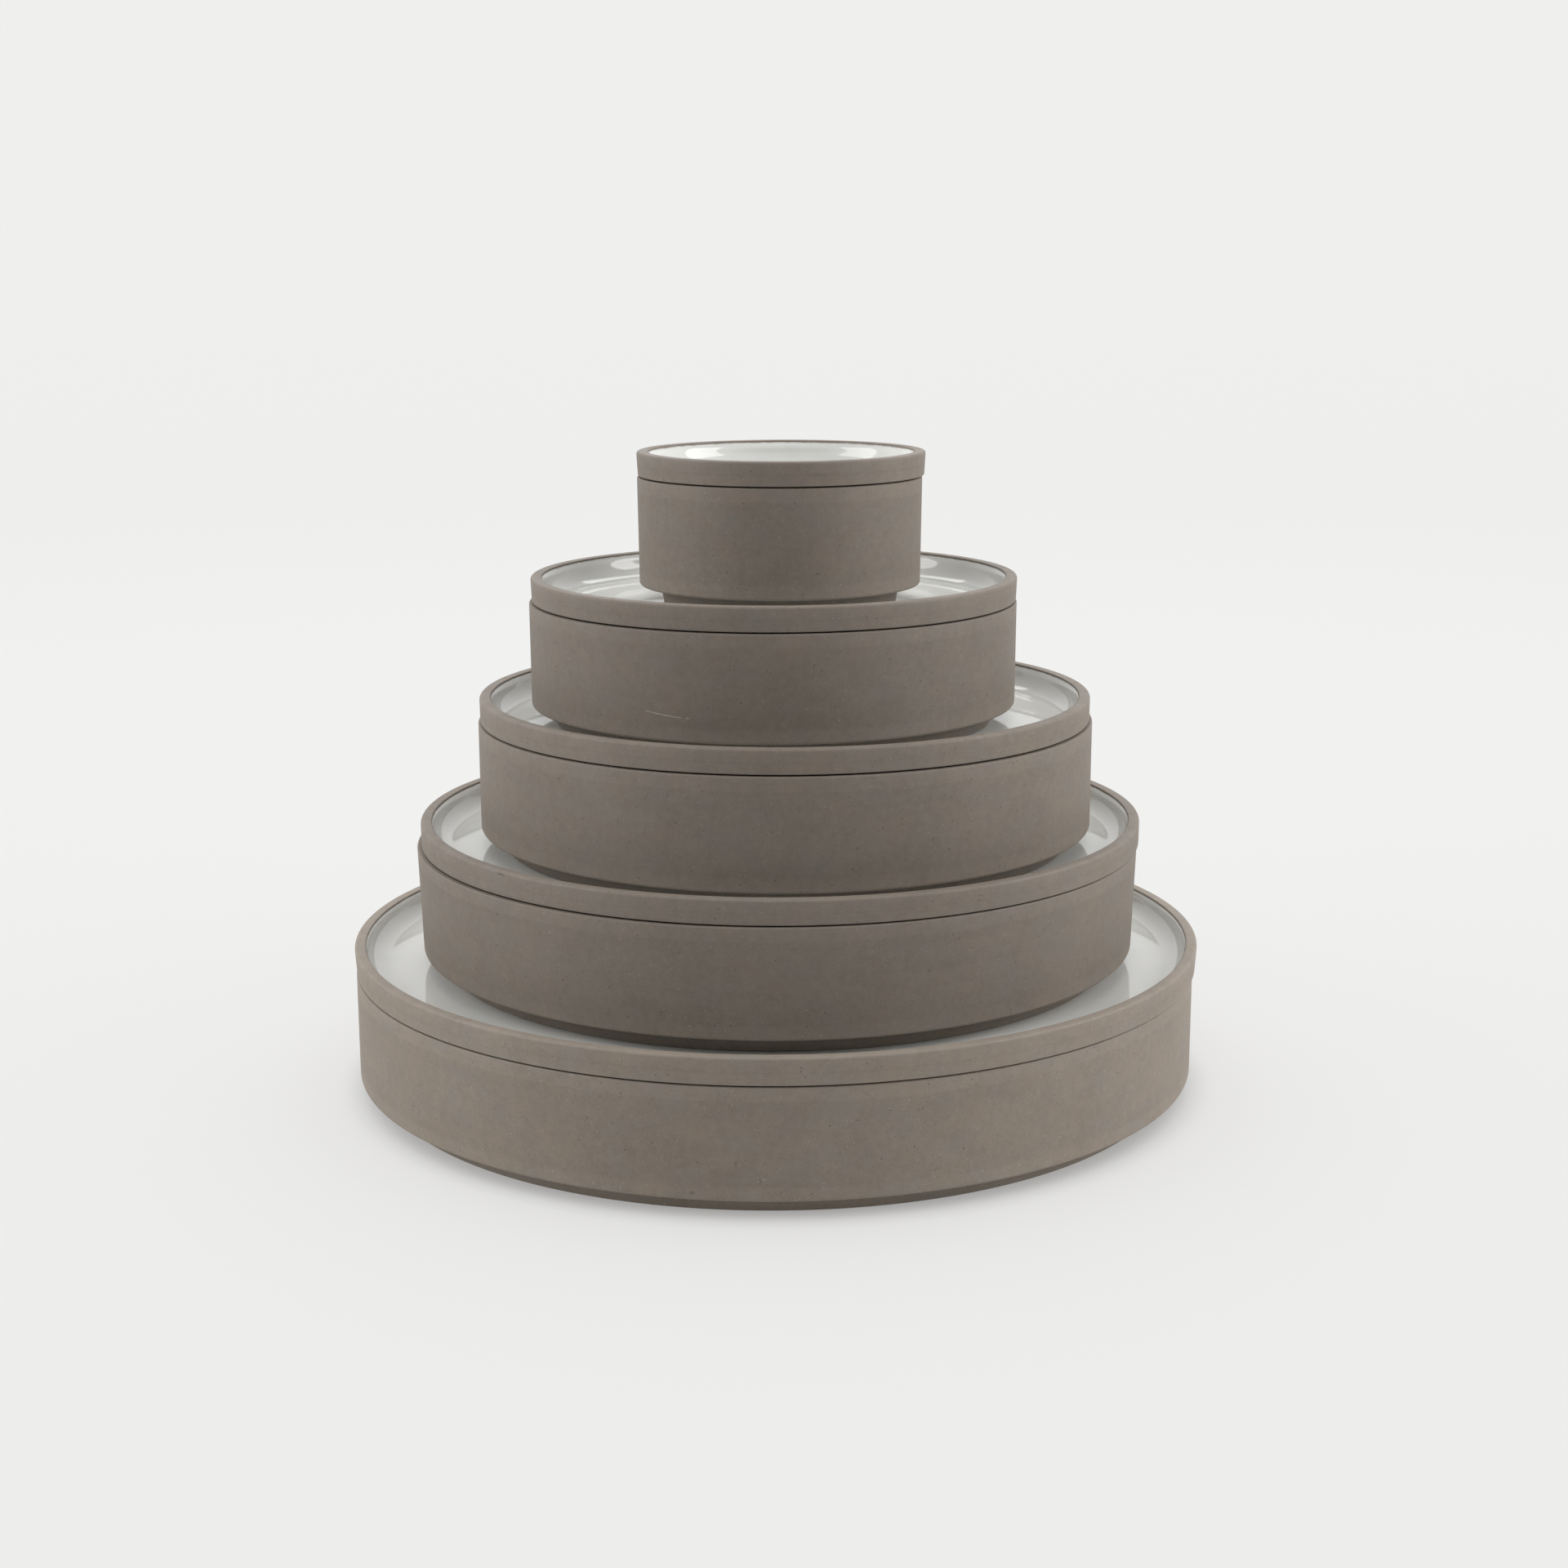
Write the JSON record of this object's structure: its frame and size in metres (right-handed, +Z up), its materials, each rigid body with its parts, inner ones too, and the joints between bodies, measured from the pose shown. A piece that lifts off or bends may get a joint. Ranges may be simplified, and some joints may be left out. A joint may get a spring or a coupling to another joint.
{
  "type": "stacking lidded stoneware bowl set",
  "caption": "Tapering stack of round lidded stoneware bowls, each lid a shallow glazed plate that the next smaller bowl stands in; matte taupe outside, white glaze inside.",
  "frame": {"origin": "under the centre of the widest plate, on the surface that the stack stands on", "axes": "+Z up along the stack, -Y towards the front; the smaller dishes stand up to 3.1 mm off the widest plate's axis along X"},
  "size_m": [0.2574, 0.2574, 0.1918],
  "materials": {
    "stoneware": "matte unglazed, faint speckle",
    "white_glaze": "gloss, slightly grey-green white"
  },
  "bodies": {
    "bowl_255": {"bowl_255": "stoneware", "bowl_255_glaze": "white_glaze"},
    "lid_255": {"lid_255": "stoneware", "lid_255_glaze": "white_glaze"},
    "bowl_220": {"bowl_220": "stoneware", "bowl_220_glaze": "white_glaze"},
    "lid_220": {"lid_220": "stoneware", "lid_220_glaze": "white_glaze"},
    "bowl_185": {"bowl_185": "stoneware", "bowl_185_glaze": "white_glaze"},
    "lid_185": {"lid_185": "stoneware", "lid_185_glaze": "white_glaze"},
    "bowl_145": {"bowl_145": "stoneware", "bowl_145_glaze": "white_glaze"},
    "lid_145": {"lid_145": "stoneware", "lid_145_glaze": "white_glaze"},
    "bowl_85": {"bowl_85": "stoneware", "bowl_85_glaze": "white_glaze"},
    "lid_85": {"lid_85": "stoneware", "lid_85_glaze": "white_glaze"}
  },
  "joints": [
    {"name": "lid_255_lift", "type": "slide", "parent": "bowl_255", "child": "lid_255", "axis": [0, 0, 1], "range_m": [0, 0.05]},
    {"name": "bowl_220_lift", "type": "slide", "parent": "lid_255", "child": "bowl_220", "axis": [0, 0, 1], "range_m": [0, 0.05]},
    {"name": "lid_220_lift", "type": "slide", "parent": "bowl_220", "child": "lid_220", "axis": [0, 0, 1], "range_m": [0, 0.05]},
    {"name": "bowl_185_lift", "type": "slide", "parent": "lid_220", "child": "bowl_185", "axis": [0, 0, 1], "range_m": [0, 0.05]},
    {"name": "lid_185_lift", "type": "slide", "parent": "bowl_185", "child": "lid_185", "axis": [0, 0, 1], "range_m": [0, 0.05]},
    {"name": "bowl_145_lift", "type": "slide", "parent": "lid_185", "child": "bowl_145", "axis": [0, 0, 1], "range_m": [0, 0.05]},
    {"name": "lid_145_lift", "type": "slide", "parent": "bowl_145", "child": "lid_145", "axis": [0, 0, 1], "range_m": [0, 0.05]},
    {"name": "bowl_85_lift", "type": "slide", "parent": "lid_145", "child": "bowl_85", "axis": [0, 0, 1], "range_m": [0, 0.05]},
    {"name": "lid_85_lift", "type": "slide", "parent": "bowl_85", "child": "lid_85", "axis": [0, 0, 1], "range_m": [0, 0.05]}
  ]
}
